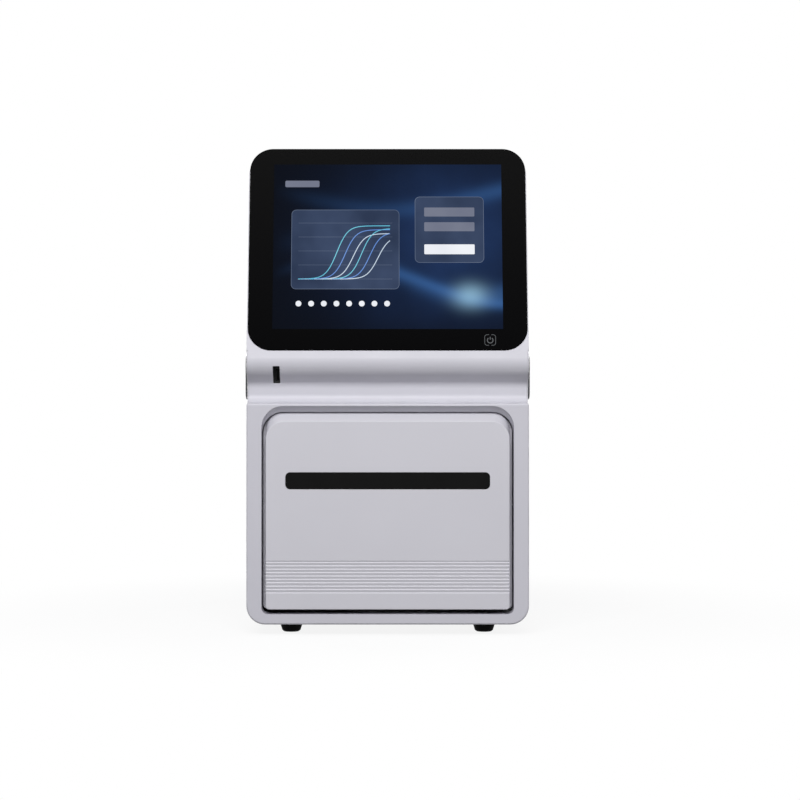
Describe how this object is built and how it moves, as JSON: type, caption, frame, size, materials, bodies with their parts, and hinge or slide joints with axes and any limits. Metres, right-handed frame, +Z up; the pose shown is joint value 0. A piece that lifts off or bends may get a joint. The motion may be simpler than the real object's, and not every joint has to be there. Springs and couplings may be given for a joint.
{
  "type": "pcr machine",
  "caption": "Bench PCR machine: pale upright housing with a leaning black touch screen over a wide motor-driven drawer that carries sample lanes under a magnet-rod head.",
  "frame": {"origin": "centre of the machine's footprint on the bench", "axes": "X to the user's right, Y from the front to the rear, Z up"},
  "size_m": [0.306, 0.47, 0.5223],
  "materials": {
    "front_plastic": "satin",
    "cover_paint": "satin",
    "trim_dark": "matte",
    "screen_glass": "gloss",
    "screen_panel": "satin",
    "window_smoke": "gloss",
    "drawer_plastic": "satin",
    "foot_rubber": "matte",
    "chassis_steel": "zinc plated",
    "bright_steel": "polished",
    "machined_aluminium": "satin",
    "tray_plastic": "satin",
    "board_green": "satin",
    "motor_black": "satin",
    "nut_brass": "machined",
    "fan_black": "satin",
    "ceramic_white": "matte",
    "socket_black": "satin",
    "rear_paint": "satin"
  },
  "bodies": {
    "chassis": {"front_fascia": "front_plastic", "touch_glass": "screen_glass", "lcd_panel": "screen_panel", "display_bracket": "chassis_steel", "display_board": "board_green", "usb_socket": "socket_black", "usb_board": "board_green", "side_cover_left": "cover_paint", "side_cover_right": "cover_paint", "waist_trim_left": "trim_dark", "waist_trim_right": "trim_dark", "top_cover": "cover_paint", "base_pan": "cover_paint", "rear_panel": "rear_paint", "feet": "foot_rubber", "upright_left": "chassis_steel", "upright_right": "chassis_steel", "electronics_deck": "chassis_steel", "control_board": "board_green", "slide_outers": "chassis_steel", "drive_bearings": "machined_aluminium", "drive_motor": "motor_black", "head_bridge": "machined_aluminium", "head_rail": "bright_steel", "head_motor": "motor_black", "lid_guide": "chassis_steel", "lid_actuator": "motor_black", "thermal_block": "machined_aluminium", "peltier_modules": "ceramic_white", "heat_sink": "machined_aluminium", "thermal_frame": "chassis_steel", "optics_bar": "motor_black", "sink_fan_frame": "fan_black", "exhaust_fan_frame": "fan_black", "fan_guard": "bright_steel", "power_supply": "chassis_steel", "mains_inlet": "socket_black", "data_ports": "bright_steel", "cover_screws": "bright_steel"},
    "drawer": {"drawer_front": "drawer_plastic", "status_window": "window_smoke", "status_board": "board_green", "drawer_back": "chassis_steel", "drawer_carriage": "chassis_steel", "lane_tray": "tray_plastic", "slide_inner_left": "chassis_steel", "slide_inner_right": "chassis_steel", "drive_nut": "nut_brass"},
    "slide_left": {"slide_middle_left": "chassis_steel"},
    "slide_right": {"slide_middle_right": "chassis_steel"},
    "drawer_screw": {"drive_screw": "bright_steel"},
    "rod_head": {"head_carriage": "machined_aluminium", "head_nut": "nut_brass", "rod_holder": "machined_aluminium", "magnet_rods": "bright_steel"},
    "rod_head_screw": {"head_screw": "bright_steel"},
    "lid": {"heated_lid": "machined_aluminium"},
    "sink_fan": {"sink_fan_rotor": "fan_black"},
    "exhaust_fan": {"exhaust_fan_rotor": "fan_black"},
    "rocker": {"power_rocker": "socket_black"}
  },
  "joints": [
    {"name": "drawer_slide", "type": "slide", "parent": "chassis", "child": "drawer", "axis": [0, -1, 0], "range_m": [0, 0.21]},
    {"name": "slide_left_run", "type": "slide", "parent": "chassis", "child": "slide_left", "axis": [0, -1, 0], "range_m": [0, 0.106]},
    {"name": "slide_right_run", "type": "slide", "parent": "chassis", "child": "slide_right", "axis": [0, -1, 0], "range_m": [0, 0.106]},
    {"name": "drawer_screw_spin", "type": "hinge", "parent": "chassis", "child": "drawer_screw", "pos_m": [0.114, 0, 0.0666], "axis": [0, 1, 0], "range_deg": [-10, 7600]},
    {"name": "rod_head_slide", "type": "slide", "parent": "chassis", "child": "rod_head", "axis": [0, 0, -1], "range_m": [0, 0.06]},
    {"name": "rod_head_screw_spin", "type": "hinge", "parent": "chassis", "child": "rod_head_screw", "pos_m": [0.04, -0.078, 0.2026], "axis": [0, 0, 1], "range_deg": [-10, 2720]},
    {"name": "lid_press", "type": "slide", "parent": "chassis", "child": "lid", "axis": [0, 0, -1], "range_m": [0, 0.007]},
    {"name": "sink_fan_spin", "type": "hinge", "parent": "chassis", "child": "sink_fan", "pos_m": [0, 0.0258, 0.0456], "axis": [0, 1, 0], "continuous": true},
    {"name": "exhaust_fan_spin", "type": "hinge", "parent": "chassis", "child": "exhaust_fan", "pos_m": [0.06, 0.2145, 0.42467], "axis": [0, 1, 0], "continuous": true},
    {"name": "power_rocker_tilt", "type": "hinge", "parent": "chassis", "child": "rocker", "pos_m": [-0.09, 0.229, 0.0846], "axis": [1, 0, 0], "range_deg": [0, 20]}
  ],
  "couplings": [
    {"joint": "slide_left_run", "follows": "drawer_slide", "ratio": 0.5},
    {"joint": "slide_right_run", "follows": "drawer_slide", "ratio": 0.5},
    {"joint": "drawer_screw_spin", "follows": "drawer_slide", "rad_per_m": 628.32},
    {"joint": "rod_head_screw_spin", "follows": "rod_head_slide", "rad_per_m": 785.4}
  ]
}
